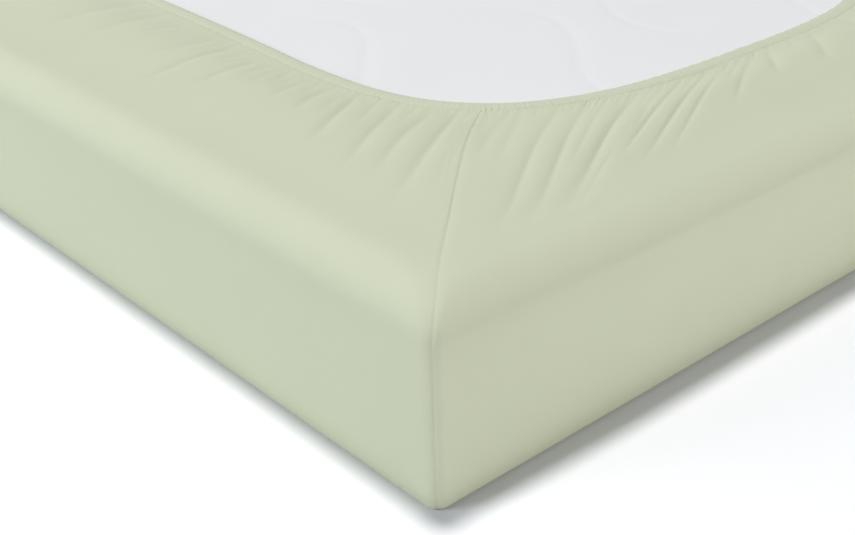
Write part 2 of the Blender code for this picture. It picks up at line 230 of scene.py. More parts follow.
# the creases round the near corner. Columns: metres along the hem from that corner's seam where the crease's
# shade begins, is halfway and ends (minus is the long side), how far from the stitches it opens and ends, how
# steep it is beside a full crease, and its half width
creases = [
    (-0.524, -0.532, -0.541, 0.018, 0.060, 0.70, 0.0026),
    (-0.478, -0.482, -0.490, 0.016, 0.078, 0.85, 0.0030),
    (-0.456, -0.462, -0.472, 0.030, 0.082, 0.60, 0.0024),
    (-0.437, -0.443, -0.453, 0.018, 0.058, 0.80, 0.0026),
    (-0.398, -0.409, -0.420, 0.024, 0.112, 1.20, 0.0032),
    (-0.384, -0.392, -0.404, 0.040, 0.088, 0.60, 0.0024),
    (-0.363, -0.368, -0.369, 0.022, 0.170, 1.40, 0.0034),
    (-0.332, -0.337, -0.347, 0.016, 0.064, 0.80, 0.0026),
    (-0.320, -0.325, -0.333, 0.040, 0.090, 0.65, 0.0024),
    (-0.304, -0.308, -0.312, 0.026, 0.134, 1.25, 0.0032),
    (-0.281, -0.283, -0.285, 0.018, 0.072, 0.80, 0.0026),
    (-0.262, -0.262, -0.263, 0.034, 0.078, 0.60, 0.0024),
    (-0.250, -0.246, -0.241, 0.012, 0.056, 0.85, 0.0026),
    (-0.232, -0.233, -0.236, 0.018, 0.050, 0.65, 0.0024),
    (-0.216, -0.218, -0.221, 0.028, 0.090, 0.90, 0.0028),
    (-0.196, -0.197, -0.199, 0.016, 0.058, 0.65, 0.0024),
    (-0.178, -0.184, -0.174, 0.012, 0.108, 1.15, 0.0032),
    (-0.158, -0.157, -0.156, 0.030, 0.082, 0.60, 0.0024),
    (-0.143, -0.139, -0.136, 0.020, 0.152, 1.50, 0.0036),
    (-0.134, -0.130, -0.126, 0.006, 0.026, 0.60, 0.0024),
    (-0.117, -0.113, -0.111, 0.014, 0.086, 0.80, 0.0028),
    (-0.091, -0.089, -0.087, 0.018, 0.185, 1.40, 0.0036),
    (-0.072, -0.073, -0.073, 0.012, 0.060, 0.65, 0.0026),
    (-0.051, -0.058, -0.055, 0.026, 0.190, 1.35, 0.0038),
    (-0.024, -0.030, -0.033, 0.016, 0.245, 1.50, 0.0042),
    (-0.011, -0.013, -0.015, 0.011, 0.052, 0.50, 0.0028),
    (-0.004, -0.010, -0.014, 0.136, 0.180, 0.60, 0.0036),
    (0.010, 0.008, 0.006, 0.002, 0.086, 0.65, 0.0042),
    (0.028, 0.018, 0.012, 0.006, 0.150, 0.85, 0.0055),
    (0.041, 0.039, 0.038, 0.004, 0.172, 0.70, 0.0055),
    (0.057, 0.061, 0.064, 0.005, 0.026, 0.45, 0.0030),
    (0.085, 0.078, 0.093, 0.014, 0.325, 0.85, 0.0064),
    (0.102, 0.104, 0.104, 0.007, 0.038, 0.35, 0.0035),
    (0.122, 0.127, 0.155, 0.004, 0.350, 0.90, 0.0070),
    (0.148, 0.153, 0.160, 0.008, 0.225, 0.55, 0.0048),
    (0.173, 0.175, 0.177, 0.005, 0.044, 0.35, 0.0035),
    (0.199, 0.196, 0.231, 0.013, 0.375, 1.20, 0.0078),
    (0.223, 0.224, 0.228, 0.006, 0.085, 0.40, 0.0045),
    (0.246, 0.248, 0.267, 0.005, 0.195, 0.45, 0.0050),
    (0.237, 0.246, 0.265, 0.229, 0.375, 0.60, 0.0060),
    (0.278, 0.274, 0.273, 0.019, 0.255, 0.95, 0.0062),
    (0.303, 0.302, 0.304, 0.002, 0.088, 0.40, 0.0046),
    (0.324, 0.321, 0.323, 0.024, 0.298, 0.90, 0.0066),
    (0.354, 0.352, 0.352, 0.057, 0.288, 0.75, 0.0058),
    (0.360, 0.362, 0.367, 0.003, 0.064, 0.45, 0.0046),
    (0.381, 0.380, 0.384, 0.004, 0.105, 0.50, 0.0048),
    (0.406, 0.401, 0.403, 0.006, 0.195, 0.75, 0.0060),
]
# the rest of the hem, plainly finished, with smaller creases between the larger ones
plainCreases = {
    "listedLeft": 0.502,     # metres of hem that the list above has, on the long side and on the short
    "listedNear": 0.394,
    "spacing": 0.070,
    "wander": 0.2,
    "reach": (0.08, 0.16),
    "depth": (0.7, 1.0),
    "seed": 11,
    "depthKeep": 0.9,
    "opens": (0.004, 0.024),
    "halfWidth": (0.0062, 0.0090),
    "turn": 0.016,           # how far its end strays sideways
    "turnMiddle": (0.2, 0.7),  # share of that at its middle
    "smallPlace": (0.35, 0.65),  # share of the spacing
    "smallReach": (0.03, 0.075),
    "smallDepth": (0.35, 0.55),
    "smallHalfWidth": (0.0035, 0.0050),
    "looseSeed": 23,
}
gathers = {
    "stitchAt": -0.0008,     # the cloth dips between the casing and the open top
    "stitchWidth": 0.0024,
    "stitchDip": 0.0001,
    "tuckFrom": 0.0004,      # inside this line the cloth dives under the casing
    "tuckLength": 0.0024,
    "tuckDepth": 0.0011,
    "puffRise": 0.0060,
    "puffPeak": 0.42,
    "puffEnd": 0.92,
    "creaseSteep": 0.42,     # how steep the walls of a full crease are
    "creaseStart": 0.3,      # how open a crease is at its start already, on the way to 1
    "creaseOpening": 0.016,  # the length over which a crease opens
    "creasePinch": 0.20,     # share of its depth before that, back to the stitches
    "creaseKeep": 0.60,      # share of its length over which it keeps its depth
    "shadeLead": 0.62,       # the lowest line lies this many half widths past the middle of the shade
    "farWidth": 1.4,         # how much wider a crease is at its far end
    "darkSide": 1.0,         # the side of a crease away from the light
    "lightSide": 1.1,
    "valleySoft": 0.0009,
    "farSoft": 0.0026,
    "creaseReach": 10,       # half widths, past which a crease is left out
    "deepest": (0.0012, 0.9),  # a crease goes no deeper than this and this share of the puff
    "ringStep": 0.002,       # ring shares to each side that the ribs' spread is read from
    "smallFrom": 0.012,      # the small gathers grow over this length from the stitches
    "seamSharp": 1.4,        # 2 is a round groove, less is sharper
    "seamDepth": (0.0007, 0.0010),   # on the top and on the side
    "seamBefore": (0.0011, 0.0009),  # its steep wall, where one panel's edge lies over the other
    "seamAfter": (0.0040, 0.0010),   # and the wall that rises again
    "seamStart": 0.10,       # how open it is at the stitches already, on the way to 1
    "seamOpens": 0.080,      # it opens over about this length from the stitches
    "seamBow": -0.0092,      # the near seam bends off its straight line on the top
    "seamBowEarly": 0.75,    # under 1 it bends most near the hem
    "seamDrift": 0.0042,     # and leaves the corner's middle by this much at the edge
    "seamPull": 0.032,       # how far to each side the cloth follows the seam
    "unevenness": 0.0006,
    "unevenFrom": 0.08,      # it grows over this length from the hem
    "unevenSize": 0.09,
    "unevenSeed": 3.7,
    "sideUnevenSize": 0.144,
    "sideUnevenSeed": 8.7,
}
# the near corner leans in over the short side, from nothing at the floor
cornerLean = {"atTop": 0.0090, "alongShort": 0.30, "alongLong": 0.25}
# the gathers that start at the stitches, between the creases
fineGathers = {
    "spacing": (0.0038, 0.0070),
    "depth": (0.0004, 0.0012),
    "reach": (0.004, 0.010),
    "halfWidth": 0.0010,
    "seed": 5,
}
smallGathers = {
    "spacing": (0.008, 0.015),
    "depth": (0.0002, 0.0010),
    "reach": (0.020, 0.055),
    "halfWidth": 0.0026,
    "seed": 8,
}
# they come in patches of stronger and weaker ones
gatherPatches = {"perMetre": 14, "seed": 0.7, "strength": 0.45, "leastReach": 0.5}


def plainCreaseRows():
    chance, loose = random.Random(plainCreases["seed"]), random.Random(plainCreases["looseSeed"])
    p = plainCreases
    rows = []
    for side in range(4):
        length = hemLengths[side]
        taken = {nearShort: p["listedNear"], leftLong: p["listedLeft"]}.get(side, 0.0)
        start = taken if side == nearShort else 0.0
        count = round((length - taken) / p["spacing"])
        for k in range(count):
            stray = chance.uniform(-p["wander"], p["wander"])
            place = hemStarts[side] + start + (length - taken) * (k + 0.5 + stray) / count
            reach = chance.uniform(*p["reach"])
            depth = chance.uniform(*p["depth"]) * p["depthKeep"]
            turn = loose.uniform(-p["turn"], p["turn"])
            middle = place + turn * loose.uniform(*p["turnMiddle"])
            opens, halfWidth = loose.uniform(*p["opens"]), loose.uniform(*p["halfWidth"])
            rows.append((place, middle, place + turn, opens, reach, depth, halfWidth))
            small = place + p["spacing"] * loose.uniform(*p["smallPlace"])
            reach, depth = loose.uniform(*p["smallReach"]), loose.uniform(*p["smallDepth"])
            halfWidth = loose.uniform(*p["smallHalfWidth"])
            rows.append((small, small + turn / 4, small + turn / 2, p["opens"][0], reach, depth, halfWidth))
    return rows


def gatherRows(kind):
    # each gather's place along the hem, depth and reach
    p = gatherPatches
    chance = random.Random(kind["seed"])
    rows, place = [], 0.0
    while place < hemTotal:
        patch = noise.noise(Vector((place * p["perMetre"], kind["seed"], p["seed"])))
        strength = min(1.0, max(0.0, patch + p["strength"]))
        shallow, deep = kind["depth"]
        depth = shallow + (deep - shallow) * strength * chance.random()
        rows.append((place, depth, chance.uniform(*kind["reach"]) * (p["leastReach"] + strength)))
        place += chance.uniform(*kind["spacing"])
    return np.array(rows)


allCreases = creases + plainCreaseRows()
fineRows, smallRows = gatherRows(fineGathers), gatherRows(smallGathers)


def wrapped(metres):
    # the shorter way round the hem, with its sign
    return (metres + hemTotal / 2) % hemTotal - hemTotal / 2


def gatherDip(rows, kind, hemPlace, fromStitches):
    # how deep the gathers of a kind press the cloth in at a place along the hem
    place = hemPlace % hemTotal
    after = np.clip(np.searchsorted(rows[:, 0], place), 1, len(rows) - 1)
    dip = np.zeros_like(place)
    for index in (after - 1, after):
        row = rows[index]
        fade = 1 - ease(np.abs(fromStitches) / row[:, 2])
        dip = np.maximum(dip, row[:, 1] * fade * np.exp(-((place - row[:, 0]) / kind["halfWidth"]) ** 2))
    return dip


def fineDip(hemPlace, fromStitches):
    return gatherDip(fineRows, fineGathers, hemPlace, fromStitches)


def unevenness(points, size, seed):
    # slow random waves from -1 to 1
    return np.array([noise.noise(Vector((p[0] / size, p[1] / size, seed))) for p in points])


def seamDip(metres, sideShare):
    # sideShare is 0 on the top and 1 on the side
    pairs = (gathers[k] for k in ("seamDepth", "seamBefore", "seamAfter"))
    depth, before, after = [top + (side - top) * sideShare for top, side in pairs]
    return depth * np.exp(-(np.abs(metres) / np.where(metres < 0, before, after)) ** gathers["seamSharp"])


def leaned(points):
    # the near corner's lean, for the cloth and the mattress alike
    points = np.array(points, float)
    short = 1 - ease((points[:, 0] + outline["halfX"]) / cornerLean["alongShort"])
    long = 1 - ease((points[:, 1] + outline["halfY"]) / cornerLean["alongLong"])
    points[:, 1] += cornerLean["atTop"] * np.clip(points[:, 2] / outline["crownLevel"], 0, 1) * short * long
    return points


def creaseDip(onHem, spread, fromStitches):
    # how deep the creases press the cloth in
    g = gathers
    dips = np.zeros_like(onHem)
    for start, middle, end, opens, ends, depth, halfWidth in allCreases:
        t = np.clip((fromStitches - opens) / (ends - opens), 0, 1)
        width = halfWidth * (1 + (g["farWidth"] - 1) * t)
        centre = start + (4 * middle - 3 * start - end) * t + 2 * (start + end - 2 * middle) * t * t
        off = wrapped(onHem - centre) * spread - g["shadeLead"] * width
        if np.abs(off).min() > g["creaseReach"] * halfWidth:
            continue
        deep = g["creaseSteep"] * depth * width
        width = width * np.where(off < 0, g["darkSide"], g["lightSide"])
        soft = g["valleySoft"] + (g["farSoft"] - g["valleySoft"]) * t
        profile = np.exp(-(np.sqrt(off ** 2 + soft ** 2) - soft) / width)
        opened = ease((fromStitches - opens) / g["creaseOpening"] + g["creaseStart"])
        fade = 1 - ease((t - g["creaseKeep"]) / (1 - g["creaseKeep"]))
        dips += deep * (g["creasePinch"] + (1 - g["creasePinch"]) * opened) * fade * profile
    return dips


def topRow(ring, distance):
    # the gathered top at a distance from the hem line, measured along each rib
    g = gathers
    hem, crown, length = ribs(ring)
    share = distance / length
    onHem = hemMetres(ring)
    step = g["ringStep"]
    crownStep = ribs((ring + step) % 4)[1] - ribs((ring - step) % 4)[1]
    hemStep = hemAt((ring + step) % 4) - hemAt((ring - step) % 4)
    speed = np.hypot(*crownStep.T) / np.hypot(*hemStep.T)
    spread = (1 - share) + share * speed
    band = bandAlong(ring)
    fromStitches = distance - band
    level = outline["hemLevel"] + (outline["crownLevel"] - outline["hemLevel"]) * ease(share / g["puffEnd"])
    rise = fromStitches / (g["puffPeak"] * length - band)
    fall = (share - g["puffPeak"]) / (g["puffEnd"] - g["puffPeak"])
    puff = g["puffRise"] * ease(rise) * (1 - ease(fall))
    deepest = g["deepest"][0] + g["deepest"][1] * puff
    crease = deepest * (1 - np.exp(-creaseDip(onHem, spread, fromStitches) / deepest))
    fromSeam = onHem[:, None] - hemStarts[None, :]
    seamMetres = fromSeam[np.arange(len(ring)), np.abs(fromSeam).argmin(axis=1)] * spread
    bowed = g["seamBow"] * np.sin(math.pi * np.clip(share, 0, 1) ** g["seamBowEarly"])
    bowed = (bowed + g["seamDrift"] * ease(share)) * np.exp(-(wrapped(onHem) * spread / g["seamPull"]) ** 2)
    direction = (crown - hem) / length[:, None]
    sideways = np.stack([-direction[:, 1], direction[:, 0]], axis=1)
    spot = hem + direction * distance[:, None] + sideways * bowed[:, None]
    wave = unevenness(spot, g["unevenSize"], g["unevenSeed"])
    wave = g["unevenness"] * ease(distance / g["unevenFrom"]) * wave
    fromEdge = fromStitches * casing["width"] / band
    groove = g["stitchDip"] * np.exp(-((fromEdge - g["stitchAt"]) / g["stitchWidth"]) ** 2)
    small = gatherDip(smallRows, smallGathers, onHem, fromStitches) * ease(fromStitches / g["smallFrom"])
    seam = seamDip(seamMetres, 0.0) * ease(g["seamStart"] + fromStitches / g["seamOpens"])
    tuck = g["tuckDepth"] * ease(-(fromEdge + g["tuckFrom"]) / g["tuckLength"])
    height = level + puff - crease + wave - fineDip(onHem, fromEdge) - small - seam - groove - tuck
    return leaned(np.c_[spot, height])


def bodyRow(ring, inset, height, radius, outShare, upShare):
    # a row over the soft edge, down the sides or round the foot. The shares say how far it faces out and up
    g = gathers
    place = np.interp(ring, leanPlaces, leanShares)
    nearCorner = (place < 0.5) | (place > 3.5)
    shift = np.where(nearCorner, g["seamDrift"] * max(upShare, 0.0), 0.0)
    spot, normal, fromCorner = roundedRing(place, inset, radius, shift)
    wave = g["unevenness"] * unevenness(spot + height, g["sideUnevenSize"], g["sideUnevenSeed"])
    off = wave * outShare - seamDip(fromCorner, outShare ** 2)
    off = np.minimum(off, 0.0) if upShare < 0 else off
    return leaned(np.c_[spot + normal * (off * outShare)[:, None], height + off * upShare])


# how finely the cloth is divided, in metres between columns along the hem
weaveOfMesh = {
    "seenSpacing": 0.0050,
    "besideSpacing": 0.0090,
    "farSpacing": 0.0118,
    "seamSpacing": 0.0006,
    "seenFrom": -0.60,
    "seenTo": 0.62,
    "besideFrom": -1.15,
    "besideTo": 1.10,
    "fineRows": 6,           # rows beside the casing with four columns for one
    "halfRows": 22,          # rows with two columns for one
    # rows beside the stitches, straight out from them
    "fromStitches": (
        -0.0028, -0.0014, -0.0002, 0.0014, 0.0036, 0.0064, 0.0098, 0.0134, 0.0172, 0.0214, 0.0260, 0.0310),
    "topShares": (0.05, 0.10, 0.16, 0.22, 0.29, 0.36, 0.43, 0.51, 0.59, 0.67, 0.76, 0.86, 0.94, 1.0),
    "edgeSteps": 7,
    "sideSteps": 5,
    "footSteps": 3,
    "thickness": 0.0011,
    "seamSpread": 0.15,      # the columns' spacing grows by this much for each metre from a seam
    "ringSamples": 16001,
    "mergeWithin": 0.00002,
}


def columnPlaces(kind, seamSpacing):
    # ring place against column number: close together where the hem is seen near by and beside the seams
    m = weaveOfMesh
    ring = np.linspace(0, 4, m["ringSamples"])
    metres = hemMetres(ring)
    fromNear = wrapped(metres)
    spacing = np.full_like(ring, kind["farSpacing"])
    spacing[(fromNear > m["besideFrom"]) & (fromNear < m["besideTo"])] = kind["besideSpacing"]
    spacing[(fromNear > m["seenFrom"]) & (fromNear < m["seenTo"])] = kind["seenSpacing"]
    fromSeam = np.abs(metres[:, None] - hemStarts[None, :]).min(axis=1)
    spacing = np.minimum(spacing, seamSpacing + fromSeam * m["seamSpread"])
    number = np.r_[0, np.cumsum(np.diff(metres) / spacing[1:])]
    count = round(number[-1])
    return count, number * count / number[-1], ring


def sheetRows():
    # the cloth's rows, casing to underside. Each turns ring places into points and metres from the soft edge
    m, o = weaveOfMesh, outline
    rows = []
    for fromEdge in m["fromStitches"]:
        def beside(ring, fromEdge=fromEdge):
            distance = bandAlong(ring) * (1 + fromEdge / casing["width"])
            return topRow(ring, distance), distance - ribs(ring)[2]
        rows.append(beside)
    for share in m["topShares"]:
        def outer(ring, share=share):
            length = ribs(ring)[2]
            last = bandAlong(ring) * (1 + m["fromStitches"][-1] / casing["width"])
            distance = last + (length - last) * share
            return topRow(ring, distance), distance - length
        rows.append(outer)
    # below the top: inset, height, radius, how far a row faces out and up, and its metres from the soft edge
    body = []
    arc = o["topEdge"] * math.pi / 2
    for k in range(1, m["edgeSteps"] + 1):
        angle = math.pi / 2 * k / m["edgeSteps"]
        inset = o["topEdge"] * (1 - math.sin(angle))
        radius = o["uprightCorner"] + (o["crownCorner"] - o["uprightCorner"]) * inset / o["topEdge"]
        height = o["crownLevel"] - o["topEdge"] * (1 - math.cos(angle))
        body.append((inset, height, radius, math.sin(angle), math.cos(angle), o["topEdge"] * angle))
    sideTop = o["crownLevel"] - o["topEdge"]
    for k in range(1, m["sideSteps"] + 1):
        height = sideTop + (o["footEdge"] - sideTop) * k / m["sideSteps"]
        body.append((0.0, height, o["uprightCorner"], 1.0, 0.0, arc + sideTop - height))
    for k in range(1, m["footSteps"] + 1):
        angle = math.pi / 2 * k / m["footSteps"]
        inset, height = o["footEdge"] * (1 - math.cos(angle)), o["footEdge"] * (1 - math.sin(angle))
        metres = arc + sideTop - o["footEdge"] + o["footEdge"] * angle
        body.append((inset, height, o["uprightCorner"] - inset, math.cos(angle), -math.sin(angle), metres))
    for *shape, metres in body:
        rows.append(lambda ring, shape=shape, metres=metres: (
            bodyRow(ring, *shape), np.full_like(ring, metres)))
    return rows


def crownMetres(ring):
    # metres along the soft edge, which the cloth's threads follow
    place = np.interp(ring, leanPlaces, leanShares)
    lengths = np.array([2 * outline["halfX"], 2 * outline["halfY"]] * 2)
    return np.interp(place, np.arange(5), np.r_[0, np.cumsum(lengths)])


def newObject(name, data):
    made = bpy.data.objects.new(name, data)
    bpy.context.scene.collection.objects.link(made)
    return made


def finishedPiece(bm, name):
    bmesh.ops.recalc_face_normals(bm, faces=bm.faces)
    mesh = bpy.data.meshes.new(name)
    bm.to_mesh(mesh)
    bm.free()
    mesh.shade_smooth()
    return newObject(name, mesh)


def layCloth(bm, rowCount, columns, rowAt, mergeWithin):
    # moves a flat grid onto the cloth. rowAt gives a row's points and where the threads are at each
    count, numbers, ringTable = columns
    rows = {}
    for vert in bm.verts:
        rows.setdefault(round((vert.co.y + 0.5) * rowCount), []).append(vert)
    cloth = {}
    for number, members in rows.items():
        ring = np.interp([(v.co.x + 0.5) * count for v in members], numbers, ringTable)
        for vert, point, u, v in zip(members, *rowAt(number, ring)):
            cloth[vert] = (point, (u, v))
    threads = bm.loops.layers.uv.new("threads")
    for face in bm.faces:
        for loop in face.loops:
            loop[threads].uv = cloth[loop.vert][1]
    for vert in bm.verts:
        vert.co = cloth[vert][0]
    bmesh.ops.remove_doubles(bm, verts=bm.verts, dist=mergeWithin)
    return threads


def buildSheet():
    m = weaveOfMesh
    rows = sheetRows()
    rowCount = len(rows) - 1
    columns = columnPlaces(m, m["seamSpacing"])
    bm = bmesh.new()
    bmesh.ops.create_grid(bm, x_segments=columns[0], y_segments=rowCount, size=0.5)
    for limit in (m["halfRows"], m["fineRows"]):
        level = [e for e in bm.edges if abs(e.verts[0].co.y - e.verts[1].co.y) * rowCount < 0.1]
        level = [e for e in level if (e.verts[0].co.y + 0.5) * rowCount < limit + 0.5]
        bmesh.ops.subdivide_edges(bm, edges=level, cuts=1, use_grid_fill=True)

    def rowAt(number, ring):
        points, fromEdge = rows[number](ring)
        return points, crownMetres(ring), fromEdge

    threads = layCloth(bm, rowCount, columns, rowAt, m["mergeWithin"])
    lowest = [e for e in bm.edges if e.is_boundary and e.verts[0].co.z < outline["footEdge"] / 2]
    under = bmesh.ops.holes_fill(bm, edges=lowest, sides=0)["faces"]
    for face in under:
        for loop in face.loops:
            loop[threads].uv = loop.vert.co.xy
    piece = finishedPiece(bm, "sheet_cloth")
    skin = piece.modifiers.new("cloth thickness", "SOLIDIFY")
    skin.thickness = weaveOfMesh["thickness"]
    skin.offset = -1.0
    return piece


sheet = buildSheet()
print("sheet:", len(sheet.data.vertices), "points,", len(sheet.data.polygons), "faces")


def casingPoints(ring, turn):
    # turn goes once round the tube: 0 at the mouth's edge, 0.5 beyond the stitches, then back underneath
    c = casing
    angle = 2 * math.pi * turn
    whole = c["width"] + c["innerReach"]
    offMiddle = -math.cos(angle)
    across = (1 + offMiddle) / 2 * whole - c["innerReach"]
    full = (1 - abs(offMiddle) ** (c["stitchRound"] if offMiddle > 0 else c["mouthRound"])) ** c["crossPower"]
    pinch = 1 - (1 - c["pinchKeep"]) * float(ease((across - c["pinchFrom"]) / (c["width"] - c["pinchFrom"])))
    onHem = hemMetres(ring)
    hem = hemAt(ring)
    wander = c["edgeWander"] * unevenness(hem, c["wanderSize"], c["wanderSeed"])
    wobble = np.array([noise.noise(Vector((s / c["ruffleSize"], c["ruffleSeed"], 0.0))) for s in onHem])
    nearMouth = 1 - float(ease((across + c["innerReach"]) / c["ruffleReach"]))
    ripple = c["ruffle"] * (c["ruffleKeep"] + (1 - c["ruffleKeep"]) * nearMouth) * wobble
    shift = (wander + ripple) * math.cos(math.pi * (1 + offMiddle) / 4)
    spot = hem + hemOutward(ring) * (across + shift)[:, None]
    base = mattressHigh.z + c["lift"]
    if turn <= 0.5:
        height = base + c["thickness"] * full * pinch + ripple * full
        height = height - fineDip(onHem, np.full_like(ring, across - c["width"])) * full
    else:
        height = np.full_like(ring, base + c["thickness"] * 0.5 * (1 - full) * pinch)
    return np.c_[spot, height]


def buildCasing():
    c = casing
    columns = columnPlaces(c, c["seenSpacing"])
    bm = bmesh.new()
    bmesh.ops.create_grid(bm, x_segments=columns[0], y_segments=c["around"], size=0.5)

    def rowAt(number, ring):
        turn = number / c["around"]
        across = np.full_like(ring, c["width"] * c["clothAround"] * turn)
        return casingPoints(ring, turn), hemMetres(ring) * c["fullness"], across

    layCloth(bm, c["around"], columns, rowAt, c["mergeWithin"])
    return finishedPiece(bm, "hem_casing")


hemCasing = buildCasing()
print("casing:", len(hemCasing.data.polygons), "faces")

stitching = {
    "pitch": 0.0032,
    "length": 0.0025,
    "radius": 0.00024,
    "fromEdge": 0.0168,
    "level": 0.0031,         # over the mattress, at the middle of a stitch
    "sag": 0.0005,           # how far its ends dive into the cloth
}


def buildStitches():
    s = stitching
    bm = bmesh.new()
    count = round(hemTotal / s["pitch"])
    ring = np.interp((np.arange(count) + 0.5) * s["pitch"], hemStarts, np.arange(5))
    outward = hemOutward(ring)
    middle = hemAt(ring) + outward * s["fromEdge"]
    dips = fineDip(hemMetres(ring), np.full_like(ring, s["fromEdge"] - casing["width"]))
    for spot, direction, dip in zip(middle, outward, dips):
        made = bmesh.ops.create_cube(bm, size=1.0)["verts"]
        ends = [v for v in made if abs(v.co.x) > 0.4]
        bmesh.ops.scale(bm, verts=made, vec=(s["length"], 2 * s["radius"], 2 * s["radius"]))
        for vert in ends:
            vert.co.z -= s["sag"]
        turned = Matrix.Rotation(math.atan2(direction[1], direction[0]) + math.pi / 2, 4, "Z")
        place = Matrix.Translation((spot[0], spot[1], mattressHigh.z + s["level"] - dip))
        bmesh.ops.transform(bm, matrix=place @ turned, verts=made)
    return finishedPiece(bm, "hem_stitches")


hemStitches = buildStitches()
print("stitches:", len(hemStitches.data.polygons), "faces")

quilting = {
    "firstLine": -0.365,     # the wavy lines run along the mattress
    "spacing": 0.213,
    "lines": 5,
    "swing": 0.078,
    "wavelength": 0.5,
    "phases": (0.385, 0.53),
    "depth": 0.0010,
    "halfWidth": 0.0080,
    "lineSharp": 1.25,       # 2 is a round groove, less is sharper
    "sink": 0.0007,          # the panel between the lines stays this far under the cloth
    "rollDepth": 0.0005,     # and rolls softly by this much
    "rollSize": 0.16,
    "rollSeed": 8.2,
    "seenX": 0.46,
    "seenY": 0.83,
    "fineX": 0.0046,
    "fineY": 0.0080,
    "coarse": 0.030,
    "edgeSteps": 6,
    "sideSteps": 2,
    "footSteps": 3,
    "footEdge": 0.012,
    "uprightCorner": 0.018,
}


def quiltDip(x, y):
    # how deep the quilting lines press the cover in
    q = quilting
    dip = np.zeros_like(x)
    for line in range(-1, q["lines"] + 1):
        swing = 2 * math.pi / q["wavelength"] * (y + q["phases"][line % 2])
        centre = q["firstLine"] + q["spacing"] * line + q["swing"] * np.cos(swing)
        slope = q["swing"] * 2 * math.pi / q["wavelength"] * np.sin(swing)
        off = np.abs(x - centre) / np.hypot(1, slope)
        dip = np.maximum(dip, np.exp(-(off / q["halfWidth"]) ** q["lineSharp"]))
    return q["depth"] * dip


def gridStops(half, seen, fine):
    # grid lines from -half to half, close together where they are seen
    inner = np.linspace(-seen, seen, round(2 * seen / fine) + 1)
    outer = np.linspace(seen, half, round((half - seen) / quilting["coarse"]) + 1)[1:]
    return np.r_[-outer[::-1], inner, outer]


def buildMattress():
    q, o = quilting, outline
    halfX, halfY = mattressHigh.x, mattressHigh.y
    inset, corner = o["topEdge"], o["crownCorner"]
    innerX, innerY = halfX - inset, halfY - inset
    stopsX = gridStops(innerX, q["seenX"], q["fineX"])
    stopsY = gridStops(innerY, q["seenY"], q["fineY"])
    bm = bmesh.new()
    bmesh.ops.create_grid(bm, x_segments=len(stopsX) - 1, y_segments=len(stopsY) - 1, size=0.5)
    for vert in bm.verts:
        x = stopsX[round((vert.co.x + 0.5) * (len(stopsX) - 1))]
        y = stopsY[round((vert.co.y + 0.5) * (len(stopsY) - 1))]
        u, v = max(abs(x) - innerX + corner, 0) / corner, max(abs(y) - innerY + corner, 0) / corner
        if u > 0 and v > 0:
            x = math.copysign(innerX - corner + corner * u * math.sqrt(1 - v * v / 2), x)
            y = math.copysign(innerY - corner + corner * v * math.sqrt(1 - u * u / 2), y)
        vert.co = (x, y, 0)
    flat = np.array([v.co for v in bm.verts])
    dips = quiltDip(flat[:, 0], flat[:, 1])
    rolls = unevenness(flat, q["rollSize"], q["rollSeed"]) * q["rollDepth"]
    top = mattressHigh.z - q["sink"]
    for vert, dip, roll in zip(bm.verts, dips, rolls):
        vert.co.z = top - dip - abs(roll)
    rim = [e for e in bm.edges if e.is_boundary]
    # each rim point's direction and its share of the straight part, so the corner's radius can change below
    places = {}
    straightX, straightY = innerX - corner, innerY - corner
    for vert in {v for e in rim for v in e.verts}:
        x, y = vert.co.x, vert.co.y
        centre = Vector((math.copysign(min(abs(x), straightX), x), math.copysign(min(abs(y), straightY), y)))
        places[vert] = ((Vector((x, y)) - centre).normalized(), centre.x / straightX, centre.y / straightY)
    base = mattressLow.z
    steps = []
    for k in range(1, q["edgeSteps"] + 1):
        angle = math.pi / 2 * k / q["edgeSteps"]
        steps.append((inset * (1 - math.sin(angle)), mattressHigh.z - inset * (1 - math.cos(angle))))
    for k in range(1, q["sideSteps"] + 1):
        side = mattressHigh.z - inset
        steps.append((0.0, side + (base + q["footEdge"] - side) * k / q["sideSteps"]))
    for k in range(1, q["footSteps"] + 1):
        angle = math.pi / 2 * k / q["footSteps"]
        steps.append((q["footEdge"] * (1 - math.cos(angle)), base + q["footEdge"] * (1 - math.sin(angle))))
    for stepInset, height in steps:
        radius = q["uprightCorner"] + (corner - q["uprightCorner"]) * min(stepInset / inset, 1)
        made = bmesh.ops.extrude_edge_only(bm, edges=rim)["geom"]
        newRim = [g for g in made if isinstance(g, bmesh.types.BMEdge)]
        fresh = {g for g in made if isinstance(g, bmesh.types.BMVert)}
        moved = {}
        for vert in fresh:
            parent = next(e.other_vert(vert) for e in vert.link_edges if e.other_vert(vert) not in fresh)
            outward, shareX, shareY = places[parent]
            reachX, reachY = halfX - stepInset - radius, halfY - stepInset - radius
            vert.co = (shareX * reachX + outward.x * radius, shareY * reachY + outward.y * radius, height)
            moved[vert] = places[parent]
        places, rim = moved, newRim
    bmesh.ops.holes_fill(bm, edges=rim, sides=0)
    for vert, place in zip(list(bm.verts), leaned([v.co for v in bm.verts])):
        vert.co = place
    return finishedPiece(bm, "mattress_cover")


mattress = buildMattress()
print("mattress:", len(mattress.data.polygons), "faces")

cameraSetting = {
    "lens": 55.6,
    "sensorWidth": 36,
    "pitch": math.radians(28.26),
    "turn": math.radians(47.74),
    "fromCorner": Vector((-0.6134, -0.6638, 0.7295)),
}


def socketIn(nodes, target, value):
    # a socket takes another node's output or a plain value
    if isinstance(value, bpy.types.NodeSocket):
        nodes.id_data.links.new(value, target)
    elif value is not None:
        target.default_value = value


def mathNode(nodes, operation, first, second=None, third=None):
    node = nodes.new("ShaderNodeMath")
    node.operation = operation
    for target, value in zip(node.inputs, (first, second, third)):
        socketIn(nodes, target, value)
    return node.outputs[0]


